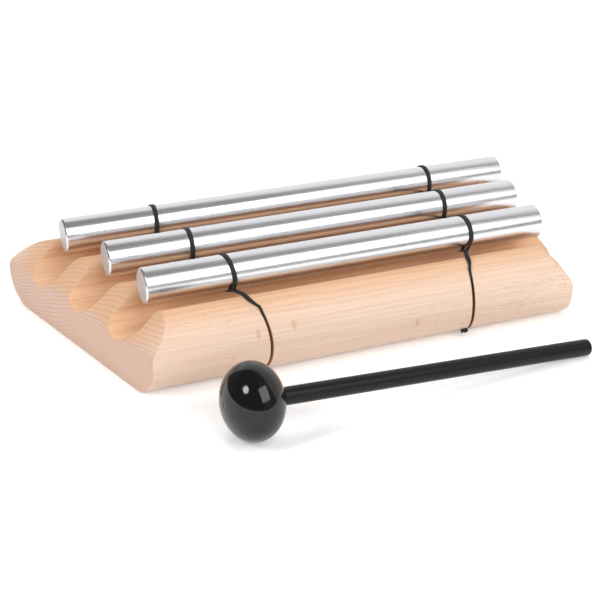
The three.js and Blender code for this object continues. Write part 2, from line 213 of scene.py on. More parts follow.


# Beech, fine-sanded and oiled: pale peach with straight fibres along the bars, short ray flecks, and pinkish
# growth rings where the ends cut across it; painted shade on the top, in the grooves and inside the saw kerfs
def beech_material():
    material, tree = blank_material("beech")
    place = add(tree, "ShaderNodeTexCoord", {}).outputs["Object"]
    # Fibre streaks 0.9 mm wide and 30 mm long
    fibre_place = add(tree, "ShaderNodeVectorMath", {0: place, 1: (34.0, 1100.0, 1100.0)},
                      operation="MULTIPLY")
    streak = add(tree, "ShaderNodeTexNoise",
                 {"Vector": fibre_place.outputs[0], "Scale": 1.0, "Detail": 4.0})
    # Where the surface faces along the fibres they are cut across, and the streaks fade
    normal = add(tree, "ShaderNodeNewGeometry", {}).outputs["Normal"]
    facing = add(tree, "ShaderNodeSeparateXYZ", {0: normal})
    along = add(tree, "ShaderNodeMath", {0: facing.outputs["X"]}, operation="ABSOLUTE")
    faded = add(tree, "ShaderNodeMapRange",
                {"Value": along.outputs[0], "From Min": 0.3, "From Max": 0.65, "To Max": 0.8})
    fibre = add(tree, "ShaderNodeMix", {0: faded.outputs[0], 2: streak.outputs[0], 3: 0.5})
    # Broad bands of colour 9 mm wide
    band_place = add(tree, "ShaderNodeVectorMath", {0: place, 1: (6.0, 110.0, 110.0)}, operation="MULTIPLY")
    band = add(tree, "ShaderNodeTexNoise", {"Vector": band_place.outputs[0], "Scale": 1.0, "Detail": 2.0})
    band_share = add(tree, "ShaderNodeMapRange",
                     {"Value": band.outputs[0], "From Min": 0.3, "From Max": 0.7})
    ground = add(tree, "ShaderNodeMix",
                 {0: band_share.outputs[0], 6: linear("#EBCFBA"), 7: linear("#F1DAC9")}, data_type="RGBA")
    fibre_share = add(tree, "ShaderNodeMapRange",
                      {"Value": fibre.outputs[0], "From Min": 0.42, "From Max": 0.75, "To Max": 0.45})
    streaked = add(tree, "ShaderNodeMix",
                   {0: fibre_share.outputs[0], 6: ground.outputs[2], 7: linear("#DDB697")}, data_type="RGBA")
    # Painted shade: the wood is darker and more orange in the grooves and between them, fading out over the
    # shoulders, for the dimmer light on the top and the light bounced inside the grooves; the fibre streaks
    # in it are grain
    parts = add(tree, "ShaderNodeSeparateXYZ", {0: place})
    from_middle = add(tree, "ShaderNodeMath", {0: parts.outputs["Y"]}, operation="ABSOLUTE")
    inner = add(tree, "ShaderNodeMapRange",
                {"Value": from_middle.outputs[0], "From Min": 0.036, "From Max": 0.0505, "To Min": 0.9,
                 "To Max": 0.0}, interpolation_type="SMOOTHSTEP")
    upper = add(tree, "ShaderNodeMapRange",
                {"Value": parts.outputs["Z"], "From Min": 0.006, "From Max": 0.016},
                interpolation_type="SMOOTHSTEP")
    painted_shade_share = add(tree, "ShaderNodeMath", {0: inner.outputs[0], 1: upper.outputs[0]}, operation="MULTIPLY")
    warm_streak = add(tree, "ShaderNodeMapRange",
                      {"Value": fibre.outputs[0], "From Min": 0.38, "From Max": 0.72, "To Max": 0.6})
    painted_shade_ground = add(tree, "ShaderNodeMix",
                      {0: warm_streak.outputs[0], 6: linear("#EBBC92"), 7: linear("#CE996D")},
                      data_type="RGBA")
    warm = add(tree, "ShaderNodeMix",
               {0: painted_shade_share.outputs[0], 6: streaked.outputs[2], 7: painted_shade_ground.outputs[2]}, data_type="RGBA")
    # Ray flecks: dashes about 3 mm long and 0.4 mm tall, in loose clusters
    fleck_place = add(tree, "ShaderNodeVectorMath", {0: place, 1: (330.0, 2200.0, 2200.0)},
                      operation="MULTIPLY")
    fleck = add(tree, "ShaderNodeTexNoise",
                {"Vector": fleck_place.outputs[0], "Scale": 1.0, "Detail": 1.0})
    fleck_form = add(tree, "ShaderNodeMapRange",
                     {"Value": fleck.outputs[0], "From Min": 0.62, "From Max": 0.7},
                     interpolation_type="SMOOTHSTEP")
    cluster_place = add(tree, "ShaderNodeVectorMath", {0: place, 1: (25.0, 110.0, 110.0)},
                        operation="MULTIPLY")
    cluster = add(tree, "ShaderNodeTexNoise",
                  {"Vector": cluster_place.outputs[0], "Scale": 1.0, "Detail": 1.0})
    cluster_share = add(tree, "ShaderNodeMapRange",
                        {"Value": cluster.outputs[0], "From Min": 0.45, "From Max": 0.62, "To Max": 0.32},
                        interpolation_type="SMOOTHSTEP")
    fleck_share = add(tree, "ShaderNodeMath", {0: fleck_form.outputs[0], 1: cluster_share.outputs[0]},
                      operation="MULTIPLY")
    flecked = add(tree, "ShaderNodeMix",
                  {0: fleck_share.outputs[0], 6: warm.outputs[2], 7: linear("#C08A60")}, data_type="RGBA")
    # A few larger ray patches, about 1.8 mm wide and 4 mm tall
    patch_place = add(tree, "ShaderNodeVectorMath", {0: place, 1: (100.0, 45.0, 45.0)}, operation="MULTIPLY")
    patch = add(tree, "ShaderNodeTexVoronoi", {"Vector": patch_place.outputs[0], "Scale": 1.0})
    patch_share = add(tree, "ShaderNodeMapRange",
                      {"Value": patch.outputs["Distance"], "From Min": 0.05, "From Max": 0.12, "To Min": 0.5,
                       "To Max": 0.0}, interpolation_type="SMOOTHSTEP")
    patched = add(tree, "ShaderNodeMix",
                  {0: patch_share.outputs[0], 6: flecked.outputs[2], 7: linear("#D99C66")}, data_type="RGBA")
    # Growth rings 1.4 mm apart round a pith line far under the block, wandering a little
    from_pith = add(tree, "ShaderNodeVectorMath", {0: place, 1: (0.0, -0.05, -0.19)}, operation="SUBTRACT")
    across = add(tree, "ShaderNodeVectorMath", {0: from_pith.outputs[0], 1: (0.0, 1.0, 1.0)},
                 operation="MULTIPLY")
    radius = add(tree, "ShaderNodeVectorMath", {0: across.outputs[0]}, operation="LENGTH")
    drift_place = add(tree, "ShaderNodeVectorMath", {0: place, 1: (9.0, 40.0, 40.0)}, operation="MULTIPLY")
    drift = add(tree, "ShaderNodeTexNoise",
                {"Vector": drift_place.outputs[0], "Scale": 1.0, "Detail": 1.0})
    turns = add(tree, "ShaderNodeMath", {0: radius.outputs["Value"], 1: 1 / 0.0014}, operation="MULTIPLY")
    wander = add(tree, "ShaderNodeMath", {0: drift.outputs[0], 1: 4.0, 2: turns.outputs[0]},
                 operation="MULTIPLY_ADD")
    ring = add(tree, "ShaderNodeMath", {0: wander.outputs[0]}, operation="FRACT")
    # Each ring darkens slowly through the year and ends sharply
    late = add(tree, "ShaderNodeMapRange",
               {"Value": ring.outputs[0], "From Min": 0.35, "From Max": 0.92},
               interpolation_type="SMOOTHSTEP")
    fall = add(tree, "ShaderNodeMapRange",
               {"Value": ring.outputs[0], "From Min": 0.92, "From Max": 1.0, "To Min": 1.0, "To Max": 0.0})
    ring_line = add(tree, "ShaderNodeMath", {0: late.outputs[0], 1: fall.outputs[0]}, operation="MULTIPLY")
    # On the ends the rings are pinkish, and some of them faint
    end_pale = add(tree, "ShaderNodeMix",
                   {0: band_share.outputs[0], 6: linear("#DFBAA4"), 7: linear("#E4C4B1")}, data_type="RGBA")
    contrast = add(tree, "ShaderNodeMapRange",
                   {"Value": band.outputs[0], "From Min": 0.35, "From Max": 0.65, "To Min": 0.2,
                    "To Max": 0.6})
    end_share = add(tree, "ShaderNodeMath", {0: ring_line.outputs[0], 1: contrast.outputs[0]},
                    operation="MULTIPLY")
    end_grain = add(tree, "ShaderNodeMix",
                    {0: end_share.outputs[0], 6: end_pale.outputs[2], 7: linear("#C59C8A")},
                    data_type="RGBA")
    # On the bevels the rings show in the warmer colour
    slanted = add(tree, "ShaderNodeMapRange",
                  {"Value": along.outputs[0], "From Min": 0.3, "From Max": 0.65, "To Min": 0.14,
                   "To Max": 0.36})
    side_share = add(tree, "ShaderNodeMath", {0: ring_line.outputs[0], 1: slanted.outputs[0]},
                     operation="MULTIPLY")
    side_grain = add(tree, "ShaderNodeMix",
                     {0: side_share.outputs[0], 6: patched.outputs[2], 7: linear("#D2916B")},
                     data_type="RGBA")
    # End grain shows where the surface faces along the fibres
    cut = add(tree, "ShaderNodeMapRange",
              {"Value": along.outputs[0], "From Min": 0.57, "From Max": 0.94},
              interpolation_type="SMOOTHSTEP")
    wood = add(tree, "ShaderNodeMix",
               {0: cut.outputs[0], 6: side_grain.outputs[2], 7: end_grain.outputs[2]}, data_type="RGBA")
    # Painted shade: the kerfs' walls turn brown from their edge inwards, for the shade inside the narrow cut
    depth = add(tree, "ShaderNodeAttribute", {}, attribute_name="kerf_depth")
    kerf_shade_share = add(tree, "ShaderNodeMapRange",
                 {"Value": depth.outputs["Fac"], "From Min": 0.0, "From Max": 0.5, "To Max": 0.95})
    colour = add(tree, "ShaderNodeMix",
                 {0: kerf_shade_share.outputs[0], 6: wood.outputs[2], 7: linear("#BF865C")}, data_type="RGBA")
    rough = add(tree, "ShaderNodeMapRange", {"Value": fibre.outputs[0], "To Min": 0.42, "To Max": 0.62})
    bump = add(tree, "ShaderNodeBump", {"Height": fibre.outputs[0], "Strength": 0.12, "Distance": 0.0001})
    shader = add(tree, "ShaderNodeBsdfPrincipled",
                 {"Base Color": colour.outputs[2], "Roughness": rough.outputs[0], "IOR": 1.5,
                  "Specular IOR Level": 0.35, "Normal": bump.outputs[0]})
    add(tree, "ShaderNodeOutputMaterial", {0: shader.outputs[0]})
    return material


# Drawn aluminium, polished lengthwise: silvery with fine streaks along the bar, and greyer, duller faced ends
# with turning marks
def aluminium_material():
    material, tree = blank_material("polished_aluminium")
    place = add(tree, "ShaderNodeTexCoord", {}).outputs["Object"]
    # Polishing streaks 0.35 mm wide, drawn about three times as coarse as real ones so that they show
    streak_place = add(tree, "ShaderNodeVectorMath", {0: place, 1: (14.0, 2800.0, 2800.0)},
                       operation="MULTIPLY")
    streak = add(tree, "ShaderNodeTexNoise",
                 {"Vector": streak_place.outputs[0], "Scale": 1.0, "Detail": 3.0})
    # Uneven polish in soft clouds 8 mm wide
    cloud_place = add(tree, "ShaderNodeVectorMath", {0: place, 1: (30.0, 120.0, 120.0)},
                      operation="MULTIPLY")
    cloud = add(tree, "ShaderNodeTexNoise",
                {"Vector": cloud_place.outputs[0], "Scale": 1.0, "Detail": 2.0})
    drawn = add(tree, "ShaderNodeMix",
                {0: streak.outputs[0], 6: linear("#DDDDE0"), 7: linear("#ECECEE")}, data_type="RGBA")
    mixed = add(tree, "ShaderNodeMath", {0: streak.outputs[0], 1: cloud.outputs[0]}, operation="ADD")
    polish = add(tree, "ShaderNodeMapRange",
                 {"Value": mixed.outputs[0], "From Min": 0.6, "From Max": 1.4, "To Min": 0.21,
                  "To Max": 0.3})
    # Turning marks on the ends, 0.5 mm apart, coarser than real ones so that they show
    turned_at = add(tree, "ShaderNodeAttribute", {}, attribute_name="face_radius")
    groove = add(tree, "ShaderNodeMath", {0: turned_at.outputs["Fac"], 1: 2 * np.pi / 0.5},
                 operation="MULTIPLY")
    mark = add(tree, "ShaderNodeMath", {0: groove.outputs[0]}, operation="SINE")
    # The ends are where the surface faces along the bar
    normal = add(tree, "ShaderNodeNewGeometry", {}).outputs["Normal"]
    facing = add(tree, "ShaderNodeSeparateXYZ", {0: normal})
    along = add(tree, "ShaderNodeMath", {0: facing.outputs["X"]}, operation="ABSOLUTE")
    end = add(tree, "ShaderNodeMapRange", {"Value": along.outputs[0], "From Min": 0.8, "From Max": 0.95})
    colour = add(tree, "ShaderNodeMix",
                 {0: end.outputs[0], 6: drawn.outputs[2], 7: linear("#C8C8CD")}, data_type="RGBA")
    rough = add(tree, "ShaderNodeMix", {0: end.outputs[0], 2: polish.outputs[0], 3: 0.42})
    height = add(tree, "ShaderNodeMix", {0: end.outputs[0], 2: streak.outputs[0], 3: mark.outputs[0]})
    bump = add(tree, "ShaderNodeBump", {"Height": height.outputs[0], "Strength": 0.04, "Distance": 0.0001})
    shader = add(tree, "ShaderNodeBsdfPrincipled",
                 {"Base Color": colour.outputs[2], "Metallic": 1.0, "Roughness": rough.outputs[0],
                  "Normal": bump.outputs[0]})
    add(tree, "ShaderNodeOutputMaterial", {0: shader.outputs[0]})
    return material


# Braided elastic: black yarn with a soft sheen, crossing strands over lengthwise rubber ribs
def elastic_material():
    material, tree = blank_material("braided_elastic")
    along = add(tree, "ShaderNodeAttribute", {}, attribute_name="along").outputs["Fac"]
    across = add(tree, "ShaderNodeAttribute", {}, attribute_name="across").outputs["Fac"]
    # Yarn pitch 0.55 mm, a little coarser than real braid so that it shows; two waves lean across each other
    lean = add(tree, "ShaderNodeMath", {0: along, 1: across}, operation="ADD")
    other = add(tree, "ShaderNodeMath", {0: along, 1: across}, operation="SUBTRACT")
    pitch = 2 * np.pi / 0.55
    lean_turn = add(tree, "ShaderNodeMath", {0: lean.outputs[0], 1: pitch}, operation="MULTIPLY")
    other_turn = add(tree, "ShaderNodeMath", {0: other.outputs[0], 1: pitch}, operation="MULTIPLY")
    lean_wave = add(tree, "ShaderNodeMath", {0: lean_turn.outputs[0]}, operation="SINE")
    other_wave = add(tree, "ShaderNodeMath", {0: other_turn.outputs[0]}, operation="SINE")
    yarn = add(tree, "ShaderNodeMath", {0: lean_wave.outputs[0], 1: other_wave.outputs[0]},
               operation="MAXIMUM")
    share = add(tree, "ShaderNodeMapRange", {"Value": yarn.outputs[0], "From Min": -1.0, "From Max": 1.0})
    colour = add(tree, "ShaderNodeMix",
                 {0: share.outputs[0], 6: linear("#0C0C0D"), 7: linear("#1D1C1E")}, data_type="RGBA")
    bump = add(tree, "ShaderNodeBump", {"Height": yarn.outputs[0], "Strength": 0.4, "Distance": 0.0001})
    shader = add(tree, "ShaderNodeBsdfPrincipled",
                 {"Base Color": colour.outputs[2], "Roughness": 0.55, "Sheen Weight": 0.06,
                  "Sheen Roughness": 0.4, "Normal": bump.outputs[0]})
    add(tree, "ShaderNodeOutputMaterial", {0: shader.outputs[0]})
    return material


# Phenolic-like moulded plastic, polished: deep black, clear reflections with a faint unevenness
def head_material():
    material, tree = blank_material("polished_black_plastic")
    place = add(tree, "ShaderNodeTexCoord", {}).outputs["Object"]
    # Flow marks about 5 mm wide and handling haze about 1 mm wide
    flow = add(tree, "ShaderNodeTexNoise", {"Vector": place, "Scale": 200.0, "Detail": 1.0})
    haze = add(tree, "ShaderNodeTexNoise", {"Vector": place, "Scale": 900.0, "Detail": 4.0})
    rough = add(tree, "ShaderNodeMapRange",
                {"Value": haze.outputs[0], "From Min": 0.35, "From Max": 0.7, "To Min": 0.07,
                 "To Max": 0.14})
    colour = add(tree, "ShaderNodeMix",
                 {0: haze.outputs[0], 6: linear("#070708"), 7: linear("#0C0D0F")}, data_type="RGBA")
    bump = add(tree, "ShaderNodeBump", {"Height": flow.outputs[0], "Strength": 0.05, "Distance": 0.0005})
    # Three pits about 1 mm wide, where air was caught in the mould
    near = [add(tree, "ShaderNodeVectorMath", {0: place, 1: tuple(0.001 * c for c in spot)},
                operation="DISTANCE").outputs["Value"] for spot in HEAD_PITS]
    nearer = add(tree, "ShaderNodeMath", {0: near[0], 1: near[1]}, operation="MINIMUM")
    nearest = add(tree, "ShaderNodeMath", {0: nearer.outputs[0], 1: near[2]}, operation="MINIMUM")
    pit = add(tree, "ShaderNodeMapRange",
              {"Value": nearest.outputs[0], "From Min": 0.0, "From Max": 0.0006})
    pitted = add(tree, "ShaderNodeBump",
                 {"Height": pit.outputs[0], "Strength": 0.8, "Distance": 0.0006, "Normal": bump.outputs[0]})
    shader = add(tree, "ShaderNodeBsdfPrincipled",
                 {"Base Color": colour.outputs[2], "Roughness": rough.outputs[0], "IOR": 1.5,
                  "Normal": pitted.outputs[0]})
    add(tree, "ShaderNodeOutputMaterial", {0: shader.outputs[0]})
    return material


# Extruded plastic rod, satin: black with fine draw lines along it
def handle_material():
    material, tree = blank_material("satin_black_plastic")
    place = add(tree, "ShaderNodeTexCoord", {}).outputs["Object"]
    # Draw lines 0.4 mm wide and 40 mm long, along the rod's own direction
    lengthwise = add(tree, "ShaderNodeMapping",
                     {"Vector": place, "Rotation": (0.0, float(MALLET_SLOPE), float(MALLET_YAW)),
                      "Scale": (0.04, 0.0004, 0.0004)}, vector_type="TEXTURE")
    line = add(tree, "ShaderNodeTexNoise", {"Vector": lengthwise.outputs[0], "Scale": 1.0, "Detail": 3.0})
    rough = add(tree, "ShaderNodeMapRange",
                {"Value": line.outputs[0], "From Min": 0.3, "From Max": 0.7, "To Min": 0.3, "To Max": 0.46})
    colour = add(tree, "ShaderNodeMix",
                 {0: line.outputs[0], 6: linear("#060607"), 7: linear("#0D0D0E")}, data_type="RGBA")
    bump = add(tree, "ShaderNodeBump", {"Height": line.outputs[0], "Strength": 0.1, "Distance": 0.0001})
    shader = add(tree, "ShaderNodeBsdfPrincipled",
                 {"Base Color": colour.outputs[2], "Roughness": rough.outputs[0], "IOR": 1.46,
                  "Specular IOR Level": 0.35, "Normal": bump.outputs[0]})
    add(tree, "ShaderNodeOutputMaterial", {0: shader.outputs[0]})
    return material


# Meshes

def grid_faces(rows, columns, wrap_rows=False, wrap_columns=False):
    """Corner numbers of the quads between neighbouring rows and columns of a grid of points."""
    i, j = np.meshgrid(np.arange(rows if wrap_rows else rows - 1),
                       np.arange(columns if wrap_columns else columns - 1), indexing="ij")
    up = (i + 1) % rows
    over = (j + 1) % columns
    corners = [i * columns + j, up * columns + j, up * columns + over, i * columns + over]
    return np.stack(corners, -1).reshape(-1, 4)


def merged(points, faces):
    """Points that fall together become one, and quads that lose a corner become triangles.

    Returns the points, the quads, the triangles, for each kept point the first point that it was, and for
    each point the number of the kept one.
    """
    _, first, number = np.unique(np.round(points, 5), axis=0, return_index=True, return_inverse=True)
    number = number.reshape(-1)
    corners = number[faces]
    same = corners == np.roll(corners, -1, axis=1)
    crossed = (corners[:, 0] == corners[:, 2]) | (corners[:, 1] == corners[:, 3])
    single = (same.sum(1) == 1) & ~crossed
    quads = corners[(same.sum(1) == 0) & ~crossed]
    gap = same[single].argmax(1)
    turn = (gap[:, None] + 1 + np.arange(3)) % 4
    return points[first], quads, np.take_along_axis(corners[single], turn, 1), first, number


def put(name, points, faces, material, caps=(), sharp=35.0, **fields):
    """A mesh object from points in millimetres and quads, facing outwards.

    Its inside is found from the sign of its volume, the sum over the faces of the corner triple products.
    caps are rings of corner numbers, and fields are values for each point.
    """
    kept, quads, slim, first, number = merged(points, faces)
    place = kept * 0.001
    rings = [number[ring] for ring in caps]
    fans = [np.stack([np.full(len(ring) - 2, ring[0]), ring[1:-1], ring[2:]], 1) for ring in rings]
    a, b, c = np.concatenate([quads[:, [0, 1, 2]], quads[:, [0, 2, 3]], slim, *fans]).T
    volume = (place[a] * np.cross(place[b], place[c])).sum()
    step = -1 if volume < 0 else 1
    polygons = quads[:, ::step].tolist() + slim[:, ::step].tolist()
    polygons += [ring[::step].tolist() for ring in rings]
    mesh = bpy.data.meshes.new(name)
    mesh.from_pydata(place.tolist(), [], polygons)
    for field, values in fields.items():
        attribute = mesh.attributes.new(field, "FLOAT", "POINT")
        attribute.data.foreach_set("value", values[first].astype(np.float32))
    mesh.materials.append(material)
    mesh.shade_smooth()
    mesh.set_sharp_from_angle(angle=np.radians(sharp))
    made = bpy.data.objects.new(name, mesh)
    bpy.context.scene.collection.objects.link(made)
    return made


def lengths_along(path):
    """Length of the path from its start to each point, the sum of its steps."""
    return np.concatenate([[0.0], np.cumsum(np.linalg.norm(np.diff(path, axis=0), axis=1))])


def even(path, count):
    """A closed path's points set evenly along its length, with the length at each."""
    line = np.concatenate([path, path[:1]])
    length = lengths_along(line)
    at = np.linspace(0.0, length[-1], count, endpoint=False)
    return np.stack([np.interp(at, length, line[:, k]) for k in range(3)], 1), at


def unit(vectors):
    """Each vector divided by its length."""
    return vectors / np.linalg.norm(vectors, axis=-1, keepdims=True)


def smooth(t):
    """A share from 0 to 1 eased at both ends: three times its square less twice its cube."""
    t = np.clip(t, 0, 1)
    return t * t * (3 - 2 * t)


def tangents(path, closed=False):
    """Direction of the path at each point, from the point before to the point after."""
    if closed:
        return unit(np.roll(path, -1, 0) - np.roll(path, 1, 0))
    return unit(np.gradient(path, axis=0))


def arc(centre, radius, start, end, count):
    """Points of a circular arc between two angles in degrees."""
    turn = np.radians(np.linspace(start, end, count))
    return np.stack([centre[0] + radius * np.cos(turn), centre[1] + radius * np.sin(turn)], 1)


# Elastic cords

def band_section(half_width, half_thickness):
    """Offsets across and out of a flat band: an ellipse squared off, its faces raised in three ribs.

    Powers below one of the cosine and sine square it off, and a cosine across the band takes up to 0.22 of
    the thickness off between the ribs.
    """
    turn = np.linspace(0, 2 * np.pi, 40, endpoint=False)
    across = half_width * np.sign(np.cos(turn)) * np.abs(np.cos(turn)) ** 0.75
    out = half_thickness * np.sign(np.sin(turn)) * np.abs(np.sin(turn)) ** 0.55
    rib = 1 - 0.22 * (1 - np.cos(3 * np.pi * across / half_width)) / 2
    return across, out * rib


def shoulder_z(y):
    """Height of the wood over the middle line's distance: flat on top, then a quarter ellipse."""
    t = np.clip((np.abs(y) - SHOULDER_Y) / SHOULDER_REACH, 0, 1)
    return SIDE_LINE + SHOULDER_RISE * np.sqrt(1 - t * t)


def kerf_x(side, y):
    """Place of a kerf's middle along the bars: a straight line, skewed from front to back."""
    return SIDE_SIGN[side] * (KERF_X + KERF_SKEW * y)


def loop_outline(count):
    """Closed line round a bar and its two pinch points, the taut outline of three circles.

    For each direction the outermost circle gives the point that faces that way; straight runs join them.
    """
    turn = np.linspace(0, 2 * np.pi, 1440, endpoint=False) - np.pi / 2
    facing = np.stack([np.cos(turn), np.sin(turn)], 1)
    drop = PINCH_Z - BAR_Z
    centres = np.array([[0.0, 0.0], [-PINCH_REACH, drop], [PINCH_REACH, drop]])
    radii = np.array([BAR_RADIUS + LOOP_SLACK + BAND_THICKNESS / 2, PINCH_RADIUS, PINCH_RADIUS])
    best = (facing @ centres.T + radii).argmax(1)
    flat = centres[best] + radii[best][:, None] * facing
    return even(np.column_stack([np.zeros(len(flat)), flat]), count)


def loop_band(name, places, y, material):
    """A flat ribbed band carried round the loop's line.

    Its place along the bar follows the angle round the bar from one given place to the next, eased by a
    bell-shaped running mean.
    """
    line, at = loop_outline(180)
    pinch, front, top, back = places
    angle = np.degrees(np.arctan2(line[:, 2], -line[:, 1]))
    x = np.interp(angle, LOOP_ANGLES, [pinch, front, top, back, (pinch + back) / 2], period=360)
    bell = np.hanning(23)[1:-1]
    reach = len(bell) // 2
    x = np.convolve(np.concatenate([x[-reach:], x, x[:reach]]), bell / bell.sum(), "valid")
    direction = tangents(line, closed=True)
    out = np.stack([np.zeros(len(line)), -direction[:, 2], direction[:, 1]], 1)
    out *= np.sign((out * line).sum(1).mean())
    across, rise = band_section(BAND_WIDTH / 2, BAND_THICKNESS / 2)
    points = line[:, None, :] + out[:, None, :] * rise[None, :, None]
    points[..., 0] += across[None, :] + x[:, None]
    points = points + np.array([0.0, y, BAR_Z])
    rows, columns = points.shape[:2]
    return put(name, points.reshape(-1, 3), grid_faces(rows, columns, True, True), material, sharp=80.0,
               along=np.repeat(at, columns), across=np.tile(across, rows))


def cord_run(name, path, normal, half_width, half_thickness, material):
    """A flat band carried along a path, its flat side facing normal; its half sizes change along it."""
    direction = tangents(path)
    side = unit(np.cross(direction, normal))
    out = unit(np.cross(side, direction))
    across, rise = band_section(1.0, 1.0)
    wide = across[None, :] * half_width[:, None]
    thick = rise[None, :] * half_thickness[:, None]
    points = path[:, None, :] + side[:, None, :] * wide[..., None] + out[:, None, :] * thick[..., None]
    rows, columns = points.shape[:2]
    ring = np.arange(columns)
    caps = (ring, ring[::-1] + (rows - 1) * columns)
    return put(name, points.reshape(-1, 3), grid_faces(rows, columns, False, True), material, caps=caps,
               sharp=80.0, along=np.repeat(lengths_along(path), columns), across=wide.reshape(-1))


def lead_path(side, bar, way):
    """From a loop's pinch over the shoulder to the kerf's mouth.

    Going outwards at an even pace, it crosses along the bar in a slight S, a straight line with a sine added,
    and stays one lift above the wood, square to its slope. Returns the path, the wood's outward direction
    and the share of the way gone.
    """
    y0 = BAR_Y[bar] + way * (PINCH_REACH - LOOP_OVERLAP)
    y1 = way * (KERF_START_Y + MOUTH_OVERLAP)
    x0 = LOOP_X[side][bar][0 if way < 0 else 3]
    t = np.linspace(0, 1, 60)
    y = y0 + (y1 - y0) * t
    x = x0 + (kerf_x(side, y1) - x0) * (t + LEAD_SWAY * np.sin(2 * np.pi * t))
    slope = np.gradient(shoulder_z(y), y)
    z = shoulder_z(y) + CORD_LIFT * np.sqrt(1 + slope * slope)
    normal = unit(np.stack([np.zeros(len(y)), -slope, np.ones(len(y))], 1))
    return np.stack([x, y, z], 1), normal, t


def strand_path(side):
    """The cord's line in the kerf: the block's outline, offset by a distance that sinks into the kerf.

    It starts on the shoulder's ellipse at the kerf's mouth, sinks over the shoulder, and runs on at one depth
    round the foot's circle and straight under the block. Returns the path and how far the cord has turned on
    edge, from 0 to 1.
    """
    mouth = np.arccos((KERF_START_Y - STRAND_OVERLAP - SHOULDER_Y) / SHOULDER_REACH)
    upper = np.linspace(mouth, 0, 60, endpoint=False)
    lower = np.linspace(0, np.pi / 2, 40)
    gone = np.concatenate([1 - upper / mouth, np.ones(len(lower))])
    shoulder = np.stack([SHOULDER_Y + SHOULDER_REACH * np.cos(upper),
                         SIDE_LINE + SHOULDER_RISE * np.sin(upper)], 1)
    foot = np.stack([FOOT_Y + FOOT_ROUND * np.cos(lower), SIDE_LINE - FOOT_ROUND * np.sin(lower)], 1)
    shoulder_facing = np.stack([np.cos(upper) / SHOULDER_REACH, np.sin(upper) / SHOULDER_RISE], 1)
    foot_facing = np.stack([np.cos(lower), -np.sin(lower)], 1)
    facing = unit(np.concatenate([shoulder_facing, foot_facing]))
    offset = CORD_LIFT - CORD_SINK * smooth(gone / SUNK_AT)
    on_edge = smooth((gone - EDGE_FROM) / EDGE_OVER)
    y, z = (np.concatenate([shoulder, foot]) + offset[:, None] * facing).T
    y = np.concatenate([-y, y[::-1]])
    z = np.concatenate([z, z[::-1]])
    return np.stack([kerf_x(side, y), y, z], 1), np.concatenate([on_edge, on_edge[::-1]])


def knot_path(side, count):
    """A trefoil drawn tight beside the kerf's mouth at the front's lower round.

    It winds twice round a ring while it goes three times round the ring's thickness, and is flattened from
    front to back. Returns the path and the ring's outward direction at each point, square to the path.
    """
    turn = np.linspace(0, 2 * np.pi, count, endpoint=False)
    y = -(FOOT_Y + (FOOT_ROUND + KNOT_STANDOFF) * np.cos(KNOT_ANGLE))
    z = SIDE_LINE - (FOOT_ROUND + KNOT_STANDOFF) * np.sin(KNOT_ANGLE)
    centre = np.array([kerf_x(side, y) + KNOT_SHIFT[side], y, z])
    outward = np.cos(3 * turn)
    rise = np.sin(3 * turn)
    form = np.stack([(2 + outward) * np.cos(2 * turn), (2 + outward) * np.sin(2 * turn), rise], 1)
    facing = np.stack([outward * np.cos(2 * turn), outward * np.sin(2 * turn), rise], 1)
    return centre + form * KNOT_STRETCH, unit(facing / KNOT_STRETCH)


def round_cord(name, path, facing, radius, material):
    """A round section carried along a closed path, turned about it by the facing given at each point."""
    direction = tangents(path, closed=True)
    side = unit(np.cross(direction, facing))
    out = np.cross(side, direction)
    turn = np.linspace(0, 2 * np.pi, 18, endpoint=False)
    ring = np.cos(turn)[None, :, None] * side[:, None, :] + np.sin(turn)[None, :, None] * out[:, None, :]
    points = path[:, None, :] + radius * ring
    rows, columns = points.shape[:2]
    return put(name, points.reshape(-1, 3), grid_faces(rows, columns, True, True), material, sharp=80.0,
               along=np.repeat(lengths_along(path), columns), across=np.tile(radius * turn, rows))


